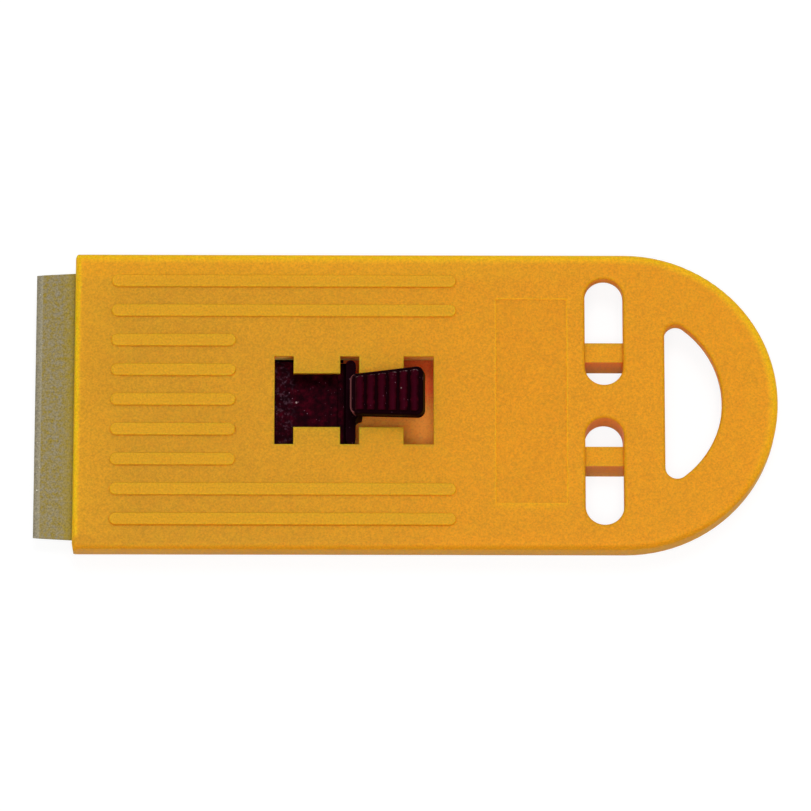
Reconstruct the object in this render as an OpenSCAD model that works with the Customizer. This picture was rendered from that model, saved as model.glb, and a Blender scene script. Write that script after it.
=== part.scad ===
// Retractable razor blade scraper: a flat moulded housing with a round tail,
// a blade carrier that slides in a channel, a spring tongue with a thumb pad
// that locks the carrier in one of three notches, and a single-edge blade.
// Millimetres. +X runs from the mouth to the tail, +Z out of the face.
// The origin is the middle of the housing's back, which lies on the table.

/* [Blade] */
// Width of the blade along its cutting edge
blade_width = 38.1; // [34:0.1:50]
// Depth of the blade from its cutting edge to the back of its spine
blade_depth = 19.05; // [18:0.05:22]
// Thickness of the blade steel
blade_thickness = 0.25; // [0.2:0.01:0.4]
// Length of the ground facet behind the cutting edge
blade_grind = 0.8; // [0.4:0.1:2]
// How far each side is drawn in at the cutting edge
blade_draw_in = 0.3; // [0.1:0.05:0.8]
// How far the cutting edge stands out of the mouth at rest
blade_out = 5.45; // [4.6:0.05:6]
// Depth of the folded spine
spine_depth = 4.75; // [4:0.05:6]
// Thickness of the folded spine
spine_thickness = 1; // [0.8:0.05:1.3]

/* [Housing] */
// Length of the housing from mouth to tail
housing_length = 96.5; // [92:0.5:115]
// Height of the housing from its back to its face
housing_height = 7.6; // [7.2:0.1:9.5]
// Height of the upright part of the sides, below the face
side_height = 3.6; // [2.6:0.1:5]
// Lean of the sides towards the back, below the upright part
back_lean = 17; // [0:0.5:20]
// Thickness of the wall behind the face
front_wall = 2; // [1.6:0.1:2.4]
// Thickness of the upright side walls
side_wall = 1.45; // [1.2:0.05:2.5]
// Thickness of the back plate
back_wall = 1.5; // [1.2:0.1:1.8]
// Rounding of the face's outer edge
edge_round = 0.9; // [0.3:0.1:1.1]
// Rounding of the two mouth corners
corner_round = 0.8; // [0.3:0.1:1.1]
// Wall round the open pocket of the tail
tail_rim = 1.85; // [1.7:0.05:3]

/* [Window] */
// Start of the window, measured from the mouth
window_start = 27.5; // [26:0.1:30]
// Width of the window's neck
neck_width = 7.66; // [6.6:0.02:9]
// Width of the window across a pair of notches
notch_span = 12.54; // [12.3:0.02:14]
// Thickness of the teeth that part the notches
tooth_thickness = 0.9; // [0.6:0.1:1.4]
// Length of the working and blade-change notches
notch_length = 2.6; // [2:0.1:3.2]
// Length of the storage notch
storage_notch_length = 4.1; // [3:0.1:4.6]
// Travel from the working notch to the blade-change notch
travel_out = 9; // [8:0.05:9.2]
// Travel from the working notch to the storage notch
travel_in = 9.45; // [8.5:0.05:10]

/* [Grip ribs] */
// Number of ribs on each side of the middle one
ribs_each_side = 4; // [2:1:4]
// Number of long ribs at each outer side
long_ribs = 2; // [0:1:2]
// Distance from rib to rib
rib_pitch = 4.24; // [3:0.01:4.5]
// Width of a rib
rib_width = 1.7; // [1:0.1:2.4]
// Height of a rib above the face
rib_height = 0.45; // [0.2:0.05:0.8]
// Start of the ribs, measured from the mouth
rib_start = 5.06; // [3:0.01:8]
// Length of a short rib
short_rib_length = 17.1; // [10:0.1:20]
// Length of a long rib
long_rib_length = 47.3; // [30:0.1:50]

/* [Tail] */
// Length of the label panel along the housing
panel_length = 9.75; // [6:0.05:12]
// Width of the label panel across the housing
panel_width = 29.1; // [20:0.1:34]
// Depth of the label panel
panel_depth = 0.25; // [0.1:0.05:0.5]
// Distance from the tail's end to the middle of the label panel
panel_from_tail = 33.8; // [32:0.1:36]
// Width of a tail slot along the housing
slot_width = 5.25; // [4:0.05:6]
// Length of a tail slot across the housing
slot_length = 15.15; // [12.5:0.05:16]
// Distance from the middle line to the middle of a slot
slot_offset = 9.93; // [9:0.01:10.5]
// Distance from the tail's end to the middle of the slots
slot_from_tail = 23.8; // [22.5:0.1:26]
// Thickness of a rail
rail_width = 2.75; // [1.6:0.05:3.5]
// Distance from the middle line to the middle of a rail
rail_offset = 7.4; // [6.5:0.05:9]
// Distance from the tail's end to the flat side of the hanging hole
hole_from_tail = 15.5; // [13.5:0.1:17]
// Wall between the hanging hole and the tail's end
hole_wall = 7.65; // [5:0.05:9]
// Corner rounding of the hanging hole
hole_round = 1.6; // [1:0.1:2]

/* [Tongue and thumb pad] */
// Thickness of the spring tongue
tongue_thickness = 1; // [0.8:0.05:1.2]
// Width of the tongue's root plate
tongue_width = 13; // [12.8:0.1:14]
// Share of the channel's height that the lugs rise into a notch
lug_catch_share = 0.2; // [0.12:0.01:0.24]
// Length of a lug along the housing
lug_length = 1.4; // [1:0.1:1.8]
// Length of the thumb pad
pad_length = 10.2; // [8:0.1:10.4]
// Width of the thumb pad at its low end
pad_width_low = 5.7; // [5.2:0.1:7.2]
// Width of the thumb pad at its high end
pad_width_high = 6.9; // [5.2:0.1:9]
// Thickness of the thumb pad
pad_thickness = 1.7; // [1.5:0.1:2.6]
// Slope of the thumb pad against the tongue
pad_slope = 12.5; // [6:0.5:16]
// Number of grip ridges on the thumb pad
pad_ridges = 6; // [3:1:6]

/* [Hidden] */
$fn = 64;
yellow = [0.87, 0.59, 0.15];
maroon = [0.14, 0.02, 0.03];
steel = [0.58, 0.54, 0.40];
dark_steel = [0.40, 0.39, 0.36];

// One overrun serves every cut, and one bite joins shapes of one piece
overrun = 1;
bite = 0.05;

// Clearances
blade_side_gap = 0.5;
carrier_side_gap = 0.25;
carrier_gap = 0.15;
jaw_gap = 0.06;
plate_gap = 0.05;
hinge_gap = 0.05;
hinge_end_gap = 0.3;
tongue_slot_gap = 0.2;
lug_gap = 0.12;
lug_side_gap = 0.3;
pad_gap = 0.05;
pad_rise = 1.5;
stem_gap = 0.35;
post_gap = 0.05;

// Housing levels and widths
channel_width = blade_width + 2 * blade_side_gap;
housing_width = channel_width + 2 * side_wall;
half_width = housing_width / 2;
roof = housing_height - front_wall;
channel_height = roof - back_wall;
shoulder = housing_height - side_height;
foot_half_width = half_width - shoulder * tan(back_lean);
tail_centre = housing_length - half_width;
finger_share = 0.195;
finger_thickness = channel_height * finger_share;
slide_level = roof - carrier_gap - finger_thickness - jaw_gap - spine_thickness / 2;

// Window, measured from the mouth
lug_x = window_start + notch_length / 2 + travel_out;
storage_x = lug_x + travel_in;
window_end = storage_x + storage_notch_length / 2;
tooth_level = housing_height - tooth_thickness;

// Channel end, the web behind it and the back plate that ends there
channel_end_clear = 2.7;
channel_end = window_end + channel_end_clear;
channel_web = 1.5;
pocket_start = channel_end + channel_web;
plate_length = channel_end - plate_gap;

// Staking posts between body and back plate
post_radius = 1.3;
pin_radius = 0.9;
stake_radius = 1.5;
stake_height = 0.6;
stake_depth = 0.2;
post_inset = 3.75;
post_clear = 1.5;

// Tail
panel_x = housing_length - panel_from_tail;
slot_x = housing_length - slot_from_tail;
web_extra = 2.8;
hole_x = housing_length - hole_from_tail;
hole_radius = half_width - hole_wall;
hole_flat = hole_x - tail_centre;
hole_blend = 0.005;
hole_corner_reach = hole_radius - hole_round + hole_blend;
hole_corner_y = sqrt(pow(hole_corner_reach, 2) - pow(hole_flat + hole_round, 2));
hole_corner_angle = atan2(hole_corner_y, hole_flat + hole_round);
cross_rib = 1.5;
cross_rib_inset = 1.3;
cross_rib_x = hole_x - cross_rib_inset - cross_rib;

// Blade and spine, measured from the cutting edge
edge_tip = 0.02;
spine_fold = 0.45;
strip_depth = blade_depth - spine_fold;
spine_front = blade_depth - spine_depth;
side_notch_length = 2.4;
side_notch_depth = 1.5;
side_notch_from_spine = 3.6;
side_notch_x = spine_front - side_notch_from_spine;

// Carrier, measured from the mouth
jaw_setback = 0.45;
jaw_front = blade_depth - blade_out - spine_depth + jaw_setback;
block_start = blade_depth - blade_out + jaw_gap;
block_length = 4.4;
block_end = block_start + block_length;
carrier_half_width = channel_width / 2 - carrier_side_gap;
carrier_bottom = back_wall + carrier_gap;
carrier_top = roof - carrier_gap;
finger_count = 3;
finger_width = 8;
finger_spread = carrier_half_width - finger_width / 2;
arm_gap = 0.5;
arm_width = 2.6;
arm_end_gap = 0.9;
arm_end = lug_x - arm_end_gap;
arm_in = tongue_width / 2 + arm_gap;

// Places of the posts, clear of the carrier's block when it is stored
post_front_x = block_end + travel_in + post_clear + post_radius;
post_rear_x = channel_end - post_clear - post_radius;
post_y = channel_width / 2 - post_inset;

// Tongue, drawn released and level, then turned down to rest
hinge_share = 0.58;
hinge_x = block_start + block_length * hinge_share;
barrel_radius = 0.95;
lug_catch = channel_height * lug_catch_share;
press_angle = asin((lug_catch + lug_gap) / (lug_x - hinge_x));
plate_end_gap = 0.95;
tongue_plate_end = lug_x - lug_length / 2 - plate_end_gap;
strip_share = 0.5;
stem_length = 1.5;
stem_width = 3.6;
lug_span = notch_span - 2 * lug_side_gap;
lug_fillet = 1;
lug_face = lug_x + lug_length / 2;
stem_end = window_end - travel_in - stem_gap;
stem_start = stem_end - stem_length;
lug_top = tooth_level + lug_catch;
tongue_bottom = slide_level - tongue_thickness / 2;

// Thumb pad, in its own sloping frame
pad_overhang = 0.15;
pad_x = stem_start - pad_overhang;
pad_round = 1;
pad_seat = housing_height + pad_rise + (stem_end - hinge_x) * sin(press_angle);
stem_seat_share = 0.6;
stem_top = pad_seat + pad_thickness * stem_seat_share;
ridge_radius = 0.75;
ridge_height = 0.35;
ridge_inset = 0.5;
ridge_start = 1.45;
ridge_end = 1.2;
ridge_pitch = (pad_length - ridge_start - ridge_end) / (pad_ridges - 1);

// Shared shapes

// Puts what is measured from the mouth into the part's frame
module from_mouth() {
    translate([-housing_length / 2, 0, 0]) children();
}

// A box that is centred across the housing
module bar(x0, x1, width, z0, z1) {
    translate([x0, -width / 2, z0]) cube([x1 - x0, width, z1 - z0]);
}

// A bar with two half-round ends, from x0 to x1
module round_bar(x0, x1, width, z0, z1) {
    bar(x0 + width / 2, x1 - width / 2, width, z0, z1);
    for (x = [x0 + width / 2, x1 - width / 2])
        translate([x, 0, z0]) cylinder(r = width / 2, h = z1 - z0);
}

// Both sides of the middle line
module both_sides() {
    children();
    mirror([0, 1, 0]) children();
}

// Turns the released tongue and its pad down to the rest pose
module pressed() {
    translate([hinge_x, 0, slide_level]) rotate([0, press_angle, 0])
        translate([-hinge_x, 0, -slide_level]) children();
}

// Housing body

// Half of the housing's cross-section: leaning foot, upright side, rounded face edge
module half_section() {
    polygon([
        [0, 0],
        [foot_half_width, 0],
        [half_width, shoulder],
        [half_width, housing_height - edge_round],
        [half_width - edge_round, housing_height - edge_round],
        [half_width - edge_round, housing_height],
        [0, housing_height]
    ]);
    translate([half_width - edge_round, housing_height - edge_round]) circle(r = edge_round);
}

module long_solid() {
    rotate([90, 0, 90]) linear_extrude(tail_centre) {
        half_section();
        mirror([1, 0]) half_section();
    }
    translate([tail_centre, 0, 0]) rotate([0, 0, -90]) rotate_extrude(angle = 180) half_section();
}

// The mouth's rounded upper edge, as seen from the side
module side_profile() {
    translate([edge_round, 0]) square([housing_length - edge_round, housing_height]);
    square([housing_length, housing_height - edge_round]);
    translate([edge_round, housing_height - edge_round]) circle(r = edge_round);
}

// The mouth's rounded corners, as seen from above
module plan_profile() {
    translate([corner_round, -half_width]) square([housing_length - corner_round, housing_width]);
    translate([0, corner_round - half_width]) square([housing_length, housing_width - 2 * corner_round]);
    for (side = [-1, 1])
        translate([corner_round, side * (half_width - corner_round)]) circle(r = corner_round);
}

module housing_blank() {
    intersection() {
        long_solid();
        rotate([90, 0, 0]) linear_extrude(housing_width, center = true) side_profile();
        linear_extrude(housing_height) plan_profile();
    }
}

// The slide's channel, with the back plate's room below it
module channel_cut() {
    bar(-overrun, channel_end, channel_width, -overrun, roof);
    bar(-overrun, channel_end, housing_width + 2 * overrun, -overrun, back_wall);
}

module rails() {
    both_sides() translate([0, rail_offset, 0])
        bar(pocket_start - bite, cross_rib_x + bite, rail_width, 0, roof);
}

// The open pocket behind the tail, less the rails, the middle web and the cross rib
module tail_pocket_cut() {
    pocket_half = half_width - tail_rim;
    difference() {
        union() {
            bar(pocket_start, tail_centre, 2 * pocket_half, -overrun, roof);
            translate([tail_centre, 0, -overrun]) cylinder(r = pocket_half, h = roof + overrun);
        }
        rails();
        bar(pocket_start - bite, cross_rib_x + bite, 2 * rail_offset, roof - web_extra, roof + bite);
        bar(cross_rib_x, cross_rib_x + cross_rib, housing_width, 0, roof + bite);
        bar(0, pocket_start, housing_width, -overrun, roof + bite);
    }
}

// The two tail slots, which leave the rails standing
module slot_cuts() {
    difference() {
        both_sides() translate([slot_x, slot_offset, 0]) rotate([0, 0, 90])
            round_bar(-slot_length / 2, slot_length / 2, slot_width, -overrun, housing_height + overrun);
        rails();
    }
}

// Hanging hole: a flat side, two round corners and an arc that follows the tail
module hanging_hole_cut() {
    translate([tail_centre, 0, -overrun]) linear_extrude(housing_height + 2 * overrun) {
        intersection() {
            circle(r = hole_radius);
            translate([hole_flat, -hole_radius]) square([hole_radius, 2 * hole_radius]);
            polygon([
                [0, 0],
                [2 * hole_radius, -2 * hole_radius * tan(hole_corner_angle)],
                [2 * hole_radius, 2 * hole_radius * tan(hole_corner_angle)]
            ]);
        }
        translate([hole_flat, -hole_corner_y]) square([hole_round, 2 * hole_corner_y]);
        for (side = [-1, 1])
            translate([hole_flat + hole_round, side * hole_corner_y]) circle(r = hole_round);
    }
}

module notch_cut(x, length) {
    bar(x - length / 2, x + length / 2, notch_span, roof - bite, housing_height + overrun);
}

// The window's neck, the lugs' track behind the teeth and the three pairs of notches
module window_cut() {
    bar(window_start, window_end, neck_width, roof - bite, housing_height + overrun);
    bar(window_start, window_end, notch_span, roof - bite, tooth_level);
    notch_cut(lug_x - travel_out, notch_length);
    notch_cut(lug_x, notch_length);
    notch_cut(storage_x, storage_notch_length);
}

module panel_cut() {
    bar(panel_x - panel_length / 2, panel_x + panel_length / 2, panel_width,
        housing_height - panel_depth, housing_height + overrun);
}

module grip_ribs() {
    for (i = [-ribs_each_side : ribs_each_side])
        let (length = abs(i) > ribs_each_side - long_ribs ? long_rib_length : short_rib_length)
            translate([0, i * rib_pitch, 0])
                round_bar(rib_start, rib_start + length, rib_width,
                    housing_height - bite, housing_height + rib_height);
}

// Places of the four staking posts
module at_posts() {
    for (x = [post_front_x, post_rear_x])
        both_sides() translate([x, post_y, 0]) children();
}

// A post with its pin through the back plate and its staked head below
module post() {
    translate([0, 0, back_wall]) cylinder(r = post_radius, h = roof - back_wall + bite);
    translate([0, 0, stake_depth]) cylinder(r = pin_radius, h = back_wall - stake_depth + bite);
    translate([0, 0, stake_depth]) cylinder(r = stake_radius, h = stake_height);
}

module housing_body() {
    color(yellow) from_mouth() {
        difference() {
            union() {
                housing_blank();
                grip_ribs();
            }
            channel_cut();
            tail_pocket_cut();
            slot_cuts();
            hanging_hole_cut();
            window_cut();
            panel_cut();
        }
        at_posts() post();
    }
}

// Back plate

module back_plate() {
    color(yellow) from_mouth() difference() {
        intersection() {
            housing_blank();
            bar(-overrun, plate_length, housing_width + 2 * overrun, -overrun, back_wall);
        }
        at_posts() {
            translate([0, 0, -overrun]) cylinder(r = pin_radius + post_gap, h = back_wall + 2 * overrun);
            translate([0, 0, -overrun])
                cylinder(r = stake_radius + post_gap, h = overrun + stake_depth + stake_height);
        }
    }
}

// Blade carrier

// Spring fingers that grip the spine from above
module upper_fingers() {
    for (i = [0 : finger_count - 1])
        let (share = finger_count > 1 ? 2 * i / (finger_count - 1) - 1 : 0)
            translate([0, share * finger_spread, 0])
                bar(jaw_front, block_start + bite, finger_width,
                    slide_level + spine_thickness / 2 + jaw_gap, carrier_top);
}

// Socket for the tongue's barrel, open towards the tail
module hinge_cut() {
    width = tongue_width + 2 * hinge_end_gap;
    translate([hinge_x, 0, slide_level]) rotate([90, 0, 0])
        cylinder(r = barrel_radius + hinge_gap, h = width, center = true);
    bar(hinge_x, block_end + overrun, width,
        slide_level - tongue_thickness / 2 - tongue_slot_gap,
        slide_level + tongue_thickness / 2 + tongue_slot_gap);
}

module blade_carrier() {
    color(maroon) from_mouth() difference() {
        union() {
            bar(jaw_front, block_start + bite, 2 * carrier_half_width,
                carrier_bottom, slide_level - spine_thickness / 2 - jaw_gap);
            upper_fingers();
            bar(block_start, block_end, 2 * carrier_half_width, carrier_bottom, carrier_top);
            both_sides() translate([0, arm_in + arm_width / 2, 0])
                bar(block_end - bite, arm_end, arm_width, carrier_bottom, carrier_top);
        }
        hinge_cut();
    }
}

// Lock tongue

// Hollow curve between the lug bar and one side of the stem
module lug_blend() {
    translate([lug_face, stem_width / 2, tongue_bottom]) difference() {
        translate([-bite, -bite, 0])
            cube([lug_fillet + bite, lug_fillet + bite, lug_top - tongue_bottom]);
        translate([lug_fillet, lug_fillet, -overrun])
            cylinder(r = lug_fillet, h = lug_top - tongue_bottom + 2 * overrun);
    }
}

module lock_tongue() {
    color(maroon) from_mouth() pressed() {
        translate([hinge_x, 0, slide_level]) rotate([90, 0, 0])
            cylinder(r = barrel_radius, h = tongue_width, center = true);
        bar(hinge_x, tongue_plate_end, tongue_width, tongue_bottom, tongue_bottom + tongue_thickness);
        bar(tongue_plate_end - bite, lug_x, tongue_width,
            tongue_bottom, tongue_bottom + tongue_thickness * strip_share);
        translate([lug_x, 0, 0]) rotate([0, 0, 90])
            round_bar(-lug_span / 2, lug_span / 2, lug_length, tongue_bottom, lug_top);
        both_sides() lug_blend();
        bar(lug_x, stem_end, stem_width, tongue_bottom, lug_top);
        bar(stem_start, stem_end, stem_width, tongue_bottom, stem_top);
    }
}

// Thumb pad

// Tapered outline with four round corners, drawn in by inset
module pad_outline(inset) {
    low = pad_width_low / 2 - pad_round;
    high = pad_width_high / 2 - pad_round;
    reach = pad_length - pad_round;
    lean = atan2(high - low, reach - pad_round);
    radius = pad_round - inset;
    for (side = [-1, 1]) {
        translate([pad_round, side * low]) circle(r = radius);
        translate([reach, side * high]) circle(r = radius);
    }
    polygon([
        [pad_round - radius, -low],
        [pad_round - radius * sin(lean), -low - radius * cos(lean)],
        [reach - radius * sin(lean), -high - radius * cos(lean)],
        [reach + radius, -high],
        [reach + radius, high],
        [reach - radius * sin(lean), high + radius * cos(lean)],
        [pad_round - radius * sin(lean), low + radius * cos(lean)],
        [pad_round - radius, low]
    ]);
}

// Half-sunk rods across the pad, cut to the drawn-in outline
module pad_grip() {
    intersection() {
        for (i = [0 : pad_ridges - 1])
            translate([ridge_start + i * ridge_pitch, 0, pad_thickness + ridge_height - ridge_radius])
                rotate([90, 0, 0]) cylinder(r = ridge_radius, h = 2 * pad_width_high, center = true);
        translate([0, 0, pad_thickness - ridge_radius]) linear_extrude(2 * ridge_radius) pad_outline(ridge_inset);
    }
}

module thumb_pad() {
    color(maroon) from_mouth() pressed() difference() {
        translate([pad_x, 0, pad_seat]) rotate([0, -pad_slope, 0]) {
            linear_extrude(pad_thickness) pad_outline(0);
            pad_grip();
        }
        bar(stem_start - pad_gap, stem_end + pad_gap, stem_width + 2 * pad_gap,
            tongue_bottom, stem_top + pad_gap);
    }
}

// Razor blade and its folded spine

module blade_plan() {
    edge_half = blade_width / 2 - blade_draw_in;
    polygon([
        [0, -edge_half],
        [blade_out, -blade_width / 2],
        [strip_depth, -blade_width / 2],
        [strip_depth, blade_width / 2],
        [blade_out, blade_width / 2],
        [0, edge_half]
    ]);
}

module blade_profile() {
    polygon([
        [0, -edge_tip / 2],
        [blade_grind, -blade_thickness / 2],
        [strip_depth, -blade_thickness / 2],
        [strip_depth, blade_thickness / 2],
        [blade_grind, blade_thickness / 2],
        [0, edge_tip / 2]
    ]);
}

// Locating notch in one short side of the blade
module side_notch() {
    translate([side_notch_x, blade_width / 2, -blade_thickness]) {
        translate([-side_notch_length / 2, side_notch_length / 2 - side_notch_depth, 0])
            cube([side_notch_length, side_notch_depth, 2 * blade_thickness]);
        translate([0, side_notch_length / 2 - side_notch_depth, 0])
            cylinder(r = side_notch_length / 2, h = 2 * blade_thickness);
    }
}

// Puts what is measured from the cutting edge at the slide's level
module from_edge() {
    from_mouth() translate([-blade_out, 0, slide_level]) children();
}

module razor_blade() {
    color(steel) from_edge() difference() {
        intersection() {
            rotate([90, 0, 0]) linear_extrude(blade_width, center = true) blade_profile();
            translate([0, 0, -blade_thickness]) linear_extrude(2 * blade_thickness) blade_plan();
        }
        both_sides() side_notch();
    }
}

module spine_section() {
    difference() {
        union() {
            translate([spine_front, -spine_thickness / 2])
                square([spine_depth - spine_thickness / 2, spine_thickness]);
            translate([blade_depth - spine_thickness / 2, 0]) circle(r = spine_thickness / 2);
        }
        translate([spine_front - overrun, -blade_thickness / 2])
            square([strip_depth - spine_front + overrun, blade_thickness]);
    }
}

module blade_spine() {
    color(dark_steel) from_edge() rotate([90, 0, 0])
        linear_extrude(blade_width, center = true) spine_section();
}

housing_body();
back_plate();
blade_carrier();
lock_tongue();
thumb_pad();
razor_blade();
blade_spine();
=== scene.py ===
import math

import bmesh
import bpy
from mathutils import Matrix, Vector


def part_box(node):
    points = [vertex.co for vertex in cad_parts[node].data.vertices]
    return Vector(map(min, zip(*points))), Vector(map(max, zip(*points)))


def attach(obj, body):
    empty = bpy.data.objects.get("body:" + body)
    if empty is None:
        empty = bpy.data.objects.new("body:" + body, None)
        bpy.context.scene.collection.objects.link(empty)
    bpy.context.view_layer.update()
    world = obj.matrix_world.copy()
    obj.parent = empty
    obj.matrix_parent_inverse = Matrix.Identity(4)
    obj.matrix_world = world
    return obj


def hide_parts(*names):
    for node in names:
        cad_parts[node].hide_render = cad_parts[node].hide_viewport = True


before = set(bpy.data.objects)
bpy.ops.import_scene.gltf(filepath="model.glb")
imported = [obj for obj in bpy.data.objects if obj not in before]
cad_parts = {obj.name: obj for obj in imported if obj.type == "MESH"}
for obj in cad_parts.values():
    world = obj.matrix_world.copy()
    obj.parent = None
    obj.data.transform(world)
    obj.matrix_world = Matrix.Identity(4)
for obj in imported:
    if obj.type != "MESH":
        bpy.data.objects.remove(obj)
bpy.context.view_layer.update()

# Camera
# A long lens looks down at the face from the scraper's right-hand long side, about 16 degrees off vertical.
# Its place and lens give the picture's frame, taken as 811 by 811.
azimuth, elevation, roll = math.radians(-0.86), math.radians(73.89), math.radians(0.95)
looked_at = Vector((-0.00278, 0.00026, 0.004))
camera_distance = 0.9267
back = Vector((
    math.sin(azimuth) * math.cos(elevation),
    -math.cos(azimuth) * math.cos(elevation),
    math.sin(elevation),
))
level = Vector((0, 0, 1)).cross(back).normalized()
upright = back.cross(level)
right = level * math.cos(roll) + upright * math.sin(roll)
up = upright * math.cos(roll) - level * math.sin(roll)
lens = bpy.data.cameras.new("camera")
lens.lens = 299.2
lens.sensor_width = 36
lens.clip_start = 0.05
lens.clip_end = 20
camera = bpy.data.objects.new("camera", lens)
bpy.context.scene.collection.objects.link(camera)
camera_turn = Matrix((right, up, back)).transposed().to_4x4()
camera.matrix_world = Matrix.Translation(looked_at + back * camera_distance) @ camera_turn
bpy.context.scene.camera = camera

# Floor and light
# A pale table top under the scraper, two soft lamps above its long sides and an even white room.
# What the camera sees of floor and room is white, apart from the scraper's own shadow.
floor_reach = 3
floor_drop = 0.00005
floor_paper = (0.88, 0.88, 0.88, 1)
floor_seen = (0.18, 0.18, 0.18, 1)
floor_glow = 0.86
room_light, room_seen = 0.38, 1.0
white = (1, 1, 1, 1)
softbox_width, softbox_depth = 0.35, 0.3
softboxes = (
    ("far_softbox", Vector((0.05, 0.21, 0.98)), 2.9),
    ("near_softbox", Vector((-0.03, -0.34, 0.94)), 3.9),
)
bpy.context.scene.view_settings.view_transform = "Standard"


def add_node(tree, kind, inputs=None, **settings):
    node = tree.nodes.new("ShaderNode" + kind)
    for name, value in settings.items():
        setattr(node, name, value)
    for name, value in (inputs or {}).items():
        if isinstance(value, bpy.types.NodeSocket):
            tree.links.new(value, node.inputs[name])
        else:
            node.inputs[name].default_value = value
    return node


def between(tree, value, start, full, low=0.0, high=1.0):
    reach = {"Value": value, "From Min": start, "From Max": full, "To Min": low, "To Max": high}
    return add_node(tree, "MapRange", reach).outputs[0]


def times(tree, one, other):
    return add_node(tree, "Math", {0: one, 1: other}, operation="MULTIPLY").outputs[0]


def less(tree, one, other):
    return add_node(tree, "Math", {0: one, 1: other}, operation="SUBTRACT").outputs[0]


def larger(tree, one, other):
    return add_node(tree, "Math", {0: one, 1: other}, operation="MAXIMUM").outputs[0]


def tinted(tree, tone, share, tint):
    return add_node(tree, "Mix", {"Factor": share, "A": tone, "B": tint}, data_type="RGBA").outputs[2]


def seen_rays(tree):
    path = add_node(tree, "LightPath").outputs
    mirrored = larger(tree, path["Is Glossy Ray"], path["Is Transmission Ray"])
    return larger(tree, path["Is Camera Ray"], mirrored)


floor_mesh = bpy.data.meshes.new("floor")
shape = bmesh.new()
bmesh.ops.create_grid(shape, x_segments=1, y_segments=1, size=floor_reach)
bmesh.ops.translate(shape, verts=shape.verts, vec=(0, 0, -floor_drop))
shape.to_mesh(floor_mesh)
shape.free()
floor = bpy.data.objects.new("floor", floor_mesh)
bpy.context.scene.collection.objects.link(floor)
pale_floor = bpy.data.materials.new("pale_floor")
pale_floor.use_nodes = True
tree = pale_floor.node_tree
tree.nodes.remove(tree.nodes["Principled BSDF"])
seen = seen_rays(tree)
matt = add_node(tree, "BsdfDiffuse", {"Color": tinted(tree, floor_paper, seen, floor_seen)})
glow = add_node(tree, "Emission", {"Color": white, "Strength": times(tree, seen, floor_glow)})
both = add_node(tree, "AddShader", {0: matt.outputs[0], 1: glow.outputs[0]})
tree.links.new(both.outputs[0], tree.nodes["Material Output"].inputs["Surface"])
floor_mesh.materials.append(pale_floor)

room = bpy.data.worlds.new("room")
room.use_nodes = True
tree = room.node_tree
room_strength = between(tree, seen_rays(tree), 0.0, 1.0, room_light, room_seen)
tree.links.new(room_strength, tree.nodes["Background"].inputs["Strength"])
tree.nodes["Background"].inputs["Color"].default_value = white
bpy.context.scene.world = room

for name, lamp_place, watts in softboxes:
    lamp_data = bpy.data.lights.new(name, "AREA")
    lamp_data.shape = "RECTANGLE"
    lamp_data.size, lamp_data.size_y = softbox_width, softbox_depth
    lamp_data.energy = watts
    lamp = bpy.data.objects.new(name, lamp_data)
    bpy.context.scene.collection.objects.link(lamp)
    lamp_turn = (-lamp_place).to_track_quat("-Z", "Y").to_matrix().to_4x4()
    lamp.matrix_world = Matrix.Translation(lamp_place) @ lamp_turn

# Housing body
# One injection moulding in warm yellow, slightly translucent plastic: face, ribs, window, sides and open tail.
# A fine matt grain comes from the mould, and every edge that the hand meets is slightly rounded.
face_level = 0.0076
rib_level = face_level + 0.00045
panel_level = face_level - 0.00025
web_level, floor_level, stake_level, back_level = 0.0028, 0.0019, 0.0002, 0.0
mouth_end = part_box("housing_body")[0][0]
half_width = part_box("housing_body")[1][1]
tail_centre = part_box("housing_body")[1][0] - half_width
mouth_reach, mouth_low, mouth_high = 0.0197, 0.0014, 0.0057
panel_start, panel_end = 0.0096, 0.0193
same_place = 2e-5
body_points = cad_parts["housing_body"].data.vertices
panel_low_side = min(v.co.y for v in body_points if abs(v.co.z - panel_level) < same_place)
panel_high_side = -panel_low_side
rib_round, rib_foot_round, window_round, panel_round = 0.00018, 0.00012, 0.00012, 0.00011
tail_round, web_round, mouth_round, rim_round, stake_round = 0.0005, 0.00015, 0.0002, 0.00025, 0.0001
merge_reach = 1e-6
flat_angle, sharp_angle, shading_angle = math.radians(0.3), math.radians(30), math.radians(35)


def merged_copy(node):
    shape = bmesh.new()
    shape.from_mesh(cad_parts[node].data)
    bmesh.ops.remove_doubles(shape, verts=shape.verts, dist=merge_reach)
    bmesh.ops.dissolve_limit(shape, angle_limit=flat_angle, verts=shape.verts, edges=shape.edges)
    return shape


def round_edges(shape, width, segments, chosen, clamp=True):
    sharp = [e for e in shape.edges
             if len(e.link_faces) == 2 and e.calc_face_angle() > sharp_angle and chosen(e)]
    bmesh.ops.bevel(shape, geom=sharp, offset=width, offset_type="OFFSET", affect="EDGES", segments=segments,
                    profile=0.5, material=-1, clamp_overlap=clamp)
    bmesh.ops.dissolve_degenerate(shape, dist=merge_reach, edges=shape.edges)


def outer(edge):
    return edge.is_convex


def at_level(height):
    return lambda edge: all(abs(v.co.z - height) < same_place for v in edge.verts)


def outer_at_level(height):
    return lambda edge: outer(edge) and at_level(height)(edge)


def face_opening(x_low, x_high, reach):
    return lambda edge: outer_at_level(face_level)(edge) and all(
        x_low < v.co.x < x_high and abs(v.co.y) < reach for v in edge.verts)


def rib_feet(edge):
    return at_level(face_level)(edge) and not edge.is_convex


def mouth_edges(edge):
    return outer(edge) and all(
        v.co.x < mouth_end + same_place and abs(v.co.y) < mouth_reach and mouth_low < v.co.z < mouth_high
        for v in edge.verts)


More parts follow.
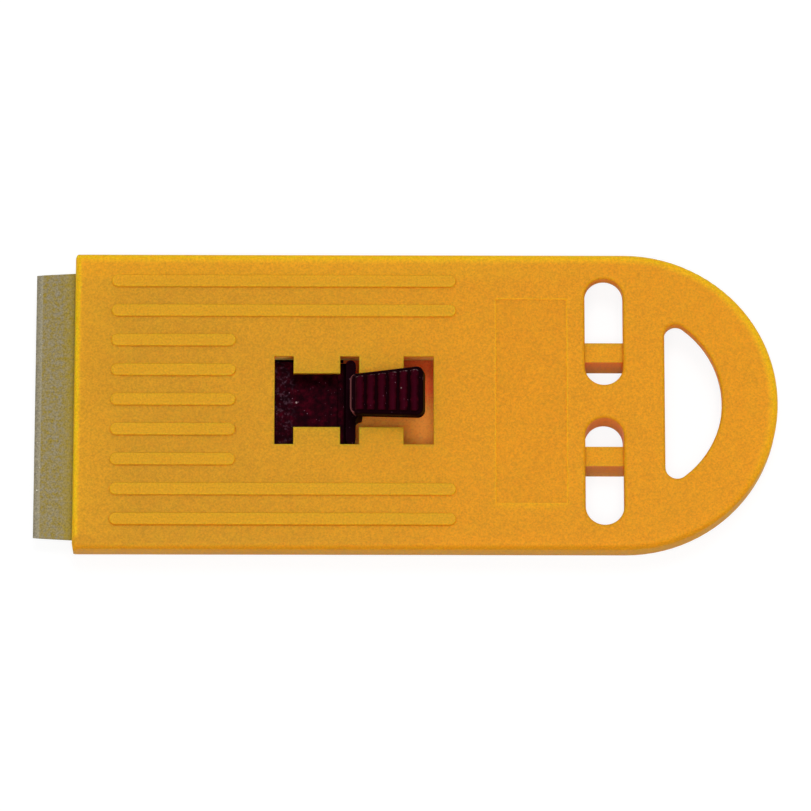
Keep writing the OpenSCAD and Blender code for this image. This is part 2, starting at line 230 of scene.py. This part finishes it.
def piece_from(shape, name, node, body, material):
    mesh = bpy.data.meshes.new(name)
    shape.to_mesh(mesh)
    shape.free()
    mesh.polygons.foreach_set("use_smooth", [True] * len(mesh.polygons))
    mesh.set_sharp_from_angle(angle=shading_angle)
    mesh.materials.append(material)
    piece = bpy.data.objects.new(name, mesh)
    bpy.context.scene.collection.objects.link(piece)
    piece.modifiers.new("even_shading", "WEIGHTED_NORMAL").keep_sharp = True
    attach(piece, body)
    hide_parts(node)


def linear(red, green, blue):
    return tuple(c / 12.92 if c <= 0.04045 else ((c + 0.055) / 1.055) ** 2.4
                 for c in (red / 255, green / 255, blue / 255)) + (1,)


def ramp(tree, value, *stops):
    node = add_node(tree, "ValToRGB", {0: value})
    points = node.color_ramp.elements
    points[0].color, points[1].color = stops[0][1], stops[-1][1]
    for place, colour in stops[1:-1]:
        points.new(place).color = colour
    return node.outputs[0]


def above(value, full, blur):
    return value, full - blur, full


def below(value, full, blur):
    return value, full + blur, full


def where_all(tree, *limits):
    share = 1.0
    for limit in limits:
        mask = between(tree, *limit) if isinstance(limit, tuple) else limit
        share = times(tree, share, mask)
    return share


def marked(tree, tone, colour, *limits):
    return tinted(tree, tone, where_all(tree, *limits), colour)


def noise(tree, place, scale, detail, roughness=0.5):
    return add_node(tree, "TexNoise", {"Vector": place, "Scale": scale, "Detail": detail,
                                       "Roughness": roughness}).outputs[0]


def scaled(tree, tone, share):
    return add_node(tree, "VectorMath", {0: tone, "Scale": share}, operation="SCALE").outputs[0]


def new_finish(name):
    material = bpy.data.materials.new(name)
    material.use_nodes = True
    tree = material.node_tree
    place = add_node(tree, "TexCoord").outputs["Object"]
    return material, tree, tree.nodes["Principled BSDF"], place


def grained(tree, shader, grain, smooth, rough, strength, distance):
    tree.links.new(between(tree, grain, 0.0, 1.0, smooth, rough), shader.inputs["Roughness"])
    bump = add_node(tree, "Bump", {"Height": grain, "Strength": strength, "Distance": distance})
    tree.links.new(bump.outputs[0], shader.inputs["Normal"])


def yellow_plastic(name, depth, lip_end):
    material, tree, shader, place = new_finish(name)
    along, across, height = add_node(tree, "SeparateXYZ", {0: place}).outputs
    normal = add_node(tree, "SeparateXYZ", {0: add_node(tree, "NewGeometry").outputs["Normal"]}).outputs
    sideways, facing = normal["Y"], normal["Z"]
    flatness = add_node(tree, "Math", {0: facing}, operation="ABSOLUTE").outputs[0]
    past_centre = larger(tree, less(tree, along, tail_centre), 0.0)
    outward = add_node(tree, "CombineXYZ", {"X": past_centre, "Y": across}).outputs[0]
    outward = add_node(tree, "VectorMath", {0: outward}, operation="LENGTH").outputs["Value"]

    # Face, from the mouth to the tail, with painted shading along its length (darker over the channel, lighter
    # towards the tail), its rib tops, and a painted highlight on the strip along the far side
    # Painted shading: the face darkens over the channel and lightens towards the tail
    tone = ramp(tree, between(tree, along, -0.048, 0.048), (0, linear(217, 158, 30)),
                (0.09, linear(209, 152, 32)), (0.4, linear(217, 154, 28)), (0.55, linear(223, 154, 26)),
                (1, linear(226, 156, 24)))
    tone = marked(tree, tone, linear(216, 161, 28), above(height, rib_level - 0.00005, 0.0002))
    # Painted highlight: the strip along the far side of the face is lighter
    on_face = above(height, face_level - 0.00004, 0.00008)
    tone = marked(tree, tone, linear(224, 160, 26), on_face, above(across, half_width - 0.003, 0.0012),
                  below(along, 0.005, 0.02))

    # Sunk panel, and beside its near side a paler band: a painted highlight standing in for a lit draft slope
    tone = marked(tree, tone, linear(224, 153, 24), above(height, panel_level, 0.00008),
                  below(height, panel_level, face_level - panel_level))
    # Painted highlight: paler band beside the panel's near side
    tone = marked(tree, tone, linear(229, 164, 23), on_face,
                  above(along, panel_start + 0.0002, 0.0013), below(along, panel_end - 0.0004, 0.0011),
                  above(across, panel_low_side - 0.0003, 0.0009), below(across, panel_low_side, 0.0002))

    # Painted highlight on the rim round the mouth, the far side and the tail, then painted shade on the near
    # edge and on the near side, darker towards the floor
    side_rim = where_all(tree, above(outward, half_width - 0.0008, 0.0007), above(across, 0.004, 0.018))
    mouth_rim = where_all(tree, below(along, mouth_end + 0.0006, 0.0004))
    # Painted highlight: the rounded rim is lighter and yellower where it faces the light
    tone = marked(tree, tone, linear(233, 180, 21), larger(tree, side_rim, mouth_rim),
                  above(height, face_level - 0.0008, 0.0008))
    # Painted shade: the near edge is darker, and the near side darker still towards the floor
    tone = marked(tree, tone, linear(207, 152, 31), above(outward, half_width - 0.0012, 0.001),
                  below(across, -0.014, 0.004), above(facing, 0.6, 0.3),
                  above(height, face_level - 0.0008, 0.0004), below(along, -0.025, 0.03))
    near_side_shade = marked(tree, linear(212, 144, 14), linear(188, 125, 5), below(height, 0.001, 0.005))
    tone = marked(tree, tone, near_side_shade, below(sideways, -0.7, 0.4), below(across, -0.008, 0.004),
                  above(outward, half_width - 0.0035, 0.0005))

    # Walls of the window, the slots and the hanging hole, painted brighter and redder as a glow of light through
    # the translucent plastic, and the panel's low step, painted lighter against its shade
    within = where_all(tree, below(outward, half_width - 0.0014, 0.0002),
                       above(along, mouth_end + 0.0008, 0.0004))
    sunk = below(height, face_level - 0.0008, 0.0005)
    # Painted glow: recess walls brighter and redder than the lit face
    wall_glow = marked(tree, linear(255, 180, 90), linear(255, 154, 40), above(along, 0.006, 0.003))
    tone = marked(tree, tone, wall_glow, below(flatness, 0.4, 0.3), within, sunk)
    # Painted light: the panel's step walls lighter so their shade does not show
    tone = marked(tree, tone, linear(243, 178, 32), below(facing, 0.9, 0.07),
                  above(height, panel_level + 0.00003, 0.00003), below(height, face_level - 0.00003, 0.00003),
                  above(along, panel_start - 0.0006, 0.0005), below(along, panel_end + 0.0007, 0.0005),
                  above(across, panel_low_side - 0.0004, 0.0004),
                  below(across, panel_high_side + 0.0004, 0.0004))

    # Rails, then the channel's floor, painted paler for light coming through the translucent plastic, and
    # painted redder as shade under the walls of its far notches and in its last notch
    upward = where_all(tree, above(facing, 0.6, 0.2), within, sunk)
    tone = marked(tree, tone, linear(225, 160, 25), upward, above(height, floor_level + 0.0002, 0.0002))
    # Painted shade: redder floor where the notch walls shadow it
    last_notch = where_all(tree, above(across, 0.003, 0.0025), above(along, -0.001, 0.0025))
    far_notches = where_all(tree, above(across, 0.0048, 0.001))
    floor_light_and_shade = marked(tree, linear(255, 160, 62), linear(255, 112, 46), larger(tree, last_notch, far_notches))
    tone = marked(tree, tone, floor_light_and_shade, upward, below(height, floor_level, 0.0002))

    # Thin lip under the channel, painted paler as a glow of light coming through it
    tone = marked(tree, tone, linear(255, 156, 28), below(height, 0.0016, 0.001), below(along, lip_end, 0.0008))

    grain = noise(tree, place, 3600, 2, 0.6)
    mottle = between(tree, noise(tree, place, 140, 4), 0.3, 0.7, 0.98, 1.02)
    speck = between(tree, grain, 0.25, 0.75, 0.8, 1.2)
    tree.links.new(scaled(tree, tone, times(tree, mottle, speck)), shader.inputs["Base Color"])
    grained(tree, shader, grain, 0.42, 0.66, 0.25, 0.00003)
    shader.inputs["Subsurface Weight"].default_value = 0.85
    shader.inputs["Subsurface Radius"].default_value = (1.0, 0.35, 0.15)
    shader.inputs["Subsurface Scale"].default_value = depth
    shader.inputs["Specular IOR Level"].default_value = 0.1
    return material


shape = merged_copy("housing_body")
round_edges(shape, rib_round, 3, at_level(rib_level))
round_edges(shape, rib_foot_round, 2, rib_feet, clamp=False)
window_edges = face_opening(-0.022, 0.002, 0.0066)
round_edges(shape, window_round, 2, window_edges)
panel_edges = face_opening(0.003, 0.0195, 0.02)
round_edges(shape, panel_round, 2, panel_edges)
round_edges(shape, panel_round, 2, at_level(panel_level))
slot_edges = face_opening(0.0205, 0.0285, 0.02)
round_edges(shape, tail_round, 4, slot_edges, clamp=False)
hole_edges = face_opening(0.0305, 0.0415, 0.013)
round_edges(shape, tail_round, 4, hole_edges, clamp=False)
round_edges(shape, web_round, 2, outer_at_level(web_level))
round_edges(shape, mouth_round, 3, mouth_edges)
round_edges(shape, rim_round, 2, at_level(back_level))
round_edges(shape, stake_round, 2, outer_at_level(stake_level))
yellow_body = yellow_plastic("yellow_body", 0.003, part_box("back_plate")[1][0])
piece_from(shape, "housing_moulding", "housing_body", "housing", yellow_body)

# Back plate
# A flat moulding in the same yellow plastic that closes the slide's channel from behind.
# Four posts of the body pass through it and are staked over in its sunk holes.
plate_side, hole_facet = 0.005, 0.001
plate_round, stake_hole_round = 0.0003, 0.0001
no_lip = -1.0


def plate_sides(edge):
    return edge.calc_length() > plate_side and at_level(back_level)(edge)


def stake_holes(edge):
    return edge.calc_length() < hole_facet and at_level(back_level)(edge)


shape = merged_copy("back_plate")
round_edges(shape, plate_round, 3, plate_sides)
round_edges(shape, stake_hole_round, 2, stake_holes, clamp=False)
yellow_back = yellow_plastic("yellow_back", 0.0004, no_lip)
piece_from(shape, "back_cover", "back_plate", "housing", yellow_back)

# Blade carrier
# A flat slide in dark maroon, nearly black plastic that runs in the housing's channel.
# Its fingers grip the blade, and the lock tongue turns in its socket.
carrier_round = 0.0001
dust_blur = 0.05
fine_dust = (2400, 0.45, 0.22, linear(120, 84, 98))
coarse_dust = (900, 0.72, 0.17, linear(205, 172, 170))


def scattered(tree, place, cells, rare, reach, blur):
    grid = add_node(tree, "TexVoronoi", {"Vector": place, "Scale": cells}).outputs
    chance = add_node(tree, "SeparateColor", {0: grid["Color"]}).outputs
    radius = between(tree, chance[0], rare, 1.0, -0.03, reach)
    return between(tree, less(tree, radius, grid["Distance"]), 0.0, blur), chance[1]


def maroon_plastic(name, tone_marks=None):
    material, tree, shader, place = new_finish(name)
    clouds = noise(tree, place, 1100, 5, 0.6)
    tone = ramp(tree, clouds, (0, linear(6, 0, 0)), (0.4, linear(14, 0, 1)), (0.55, linear(38, 1, 7)),
                (0.7, linear(64, 3, 16)), (1, linear(90, 12, 34)))
    if tone_marks:
        tone = tone_marks(tree, place, tone)
    for cells, rare, reach, colour in (fine_dust, coarse_dust):
        dust, faintness = scattered(tree, place, cells, rare, reach, dust_blur)
        tone = tinted(tree, tone, times(tree, dust, faintness), colour)
    tree.links.new(tone, shader.inputs["Base Color"])
    grained(tree, shader, clouds, 0.35, 0.6, 0.3, 0.00004)
    shader.inputs["Specular IOR Level"].default_value = 0.03
    shader.inputs["Specular Tint"].default_value = (1.0, 0.25, 0.5, 1)
    return material


shape = merged_copy("blade_carrier")
round_edges(shape, carrier_round, 2, outer)
piece_from(shape, "slide_carrier", "blade_carrier", "carrier", maroon_plastic("maroon_slide"))

# Lock tongue
# A springy plate of the same dark plastic. Two lugs stand up beside its groove and catch in the window's
# notches, and the stem behind them carries the pad. From the groove towards the tail it is painted nearly black,
# as shade in the deep gap under the pad's edge.
tongue_round = 0.00008
groove_end, haze_end = -0.0112, -0.0192


def lug_shade_and_haze(tree, place, tone):
    along = add_node(tree, "SeparateXYZ", {0: place}).outputs["X"]
    # Painted shade: from the groove towards the tail the tongue is nearly black; the haze at its low end is dust
    tone = marked(tree, tone, linear(8, 0, 1), above(along, groove_end, 0.0003))
    haze = above(noise(tree, place, 2600, 3), 0.72, 0.18)
    return marked(tree, tone, linear(106, 78, 92), haze, below(along, haze_end, 0.0016), 0.35)


shape = merged_copy("lock_tongue")
round_edges(shape, tongue_round, 2, outer, clamp=False)
maroon_tongue = maroon_plastic("maroon_tongue", lug_shade_and_haze)
piece_from(shape, "spring_tongue", "lock_tongue", "tongue", maroon_tongue)

# Thumb pad
# A ribbed cap pressed on the tongue's stem, rising towards the tail, with a plain rim round six ridges.
# Its low end's rounded rim, the ridges' crowns and their ends facing the far side carry painted highlights, and
# its sides below the rim painted shade.
pad_slope = math.radians(10)
pad_lean = Vector((-math.sin(pad_slope), 0, math.cos(pad_slope)))
pad_rim_drop, pad_rim_round = 0.00035, 0.0003
ridge_rise, ridge_round = 0.0003, 0.00015
shape = merged_copy("thumb_pad")
crown = max(v.co.dot(pad_lean) for v in shape.verts)
low_end = min(v.co.x for v in shape.verts)


def pad_rim(edge):
    return outer(edge) and all(
        abs(v.co.dot(pad_lean) - (crown - pad_rim_drop)) < same_place for v in edge.verts)


def ridge_crowns(edge):
    return outer(edge) and all(v.co.dot(pad_lean) > crown - ridge_rise for v in edge.verts)


def pad_shade_and_highlights(tree, place, tone):
    height = add_node(tree, "VectorMath", {0: place, 1: pad_lean}, operation="DOT_PRODUCT").outputs["Value"]
    along = add_node(tree, "SeparateXYZ", {0: place}).outputs["X"]
    normal = add_node(tree, "NewGeometry").outputs["True Normal"]
    normal = add_node(tree, "SeparateXYZ", {0: normal}).outputs
    lengthways, sideways = normal["X"], normal["Y"]
    # Painted shade: the pad's sides below the rim are nearly black
    tone = marked(tree, tone, linear(9, 0, 1), below(height, crown - 0.0003, 0.00008))
    # Painted highlight: the ridges' crowns are lighter and purple
    tone = marked(tree, tone, linear(54, 3, 17), above(height, crown + 0.00005, 0.00025))
    # Painted highlight on the rounded rim at the pad's low end
    tone = marked(tree, tone, linear(124, 70, 72), below(lengthways, -0.55, 0.2), above(lengthways, -0.85, 0.07),
                  below(height, crown - 0.00032, 0.00004), below(along, low_end + 0.0008, 0.0008))
    # Painted highlights, broken up by noise, on the ridges' ends that face the far side
    return marked(tree, tone, linear(112, 90, 92), above(sideways, 0.4, 0.28),
                  above(height, crown - 0.00022, 0.00008), above(noise(tree, place, 2600, 2), 0.56, 0.09))


round_edges(shape, pad_rim_round, 3, pad_rim, clamp=False)
round_edges(shape, ridge_round, 2, ridge_crowns, clamp=False)
maroon_pad = maroon_plastic("maroon_pad", pad_shade_and_highlights)
piece_from(shape, "ribbed_pad", "thumb_pad", "tongue", maroon_pad)

# Razor blade
# A strip of hardened steel, rolled and lightly oiled, with a ground cutting edge across the mouth.
# It has grain and stains of its own, and a painted reflection of the yellow plastic gives it a golden band where
# it goes in under the plastic.
edge_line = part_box("razor_blade")[0][0]
spot_blur = 0.03


def steel(name, dark, light, tone_marks=None):
    material, tree, shader, place = new_finish(name)
    grain = noise(tree, place, 3800, 3, 0.6)
    film = between(tree, noise(tree, place, 1700, 5, 0.7), 0.36, 0.64)
    tone = tinted(tree, dark, film, light)
    if tone_marks:
        tone = tone_marks(tree, place, tone)
    speck = between(tree, grain, 0.25, 0.75, 0.55, 1.5)
    tree.links.new(scaled(tree, tone, speck), shader.inputs["Base Color"])
    tree.links.new(between(tree, grain, 0.0, 1.0, 0.35, 0.6), shader.inputs["Roughness"])
    shader.inputs["Metallic"].default_value = 0.95
    return material


def edge_stains_and_reflection(tree, place, tone):
    along = add_node(tree, "SeparateXYZ", {0: place}).outputs["X"]

    def edge_band(near, far, blur):
        return where_all(tree, above(along, edge_line + near, blur), below(along, edge_line + far, blur))

    def spots(cells, rare, radius):
        return scattered(tree, place, cells, rare, radius * cells, spot_blur)[0]

    # Painted reflection of the yellow plastic: a golden band where the blade goes in under it
    tone = marked(tree, tone, linear(116, 98, 22), 0.75, edge_band(0.0054, 0.0066, 0.002))
    tone = marked(tree, tone, linear(112, 107, 92), 0.7, edge_band(-0.001, 0.0008, 0.00015))
    tone = marked(tree, tone, linear(196, 192, 178), 0.8, edge_band(0.0002, 0.0008, 0.0001),
                  spots(2200, 0.2, 0.00009))
    return marked(tree, tone, linear(34, 31, 25), spots(420, 0.8, 0.0001))


strip_steel = steel("strip_steel", linear(103, 88, 32), linear(102, 95, 78), edge_stains_and_reflection)
piece_from(merged_copy("razor_blade"), "steel_strip", "razor_blade", "blade", strip_steel)

# Blade spine
# A strip of mild steel, folded over and pressed on the blade's back to stiffen it.
# It is plain, greyer than the blade, and the carrier's fingers hold it.
spine_round = 0.0001
shape = merged_copy("blade_spine")
round_edges(shape, spine_round, 2, outer)
spine_steel = steel("spine_steel", linear(84, 81, 74), linear(98, 97, 94))
piece_from(shape, "folded_spine", "blade_spine", "blade", spine_steel)
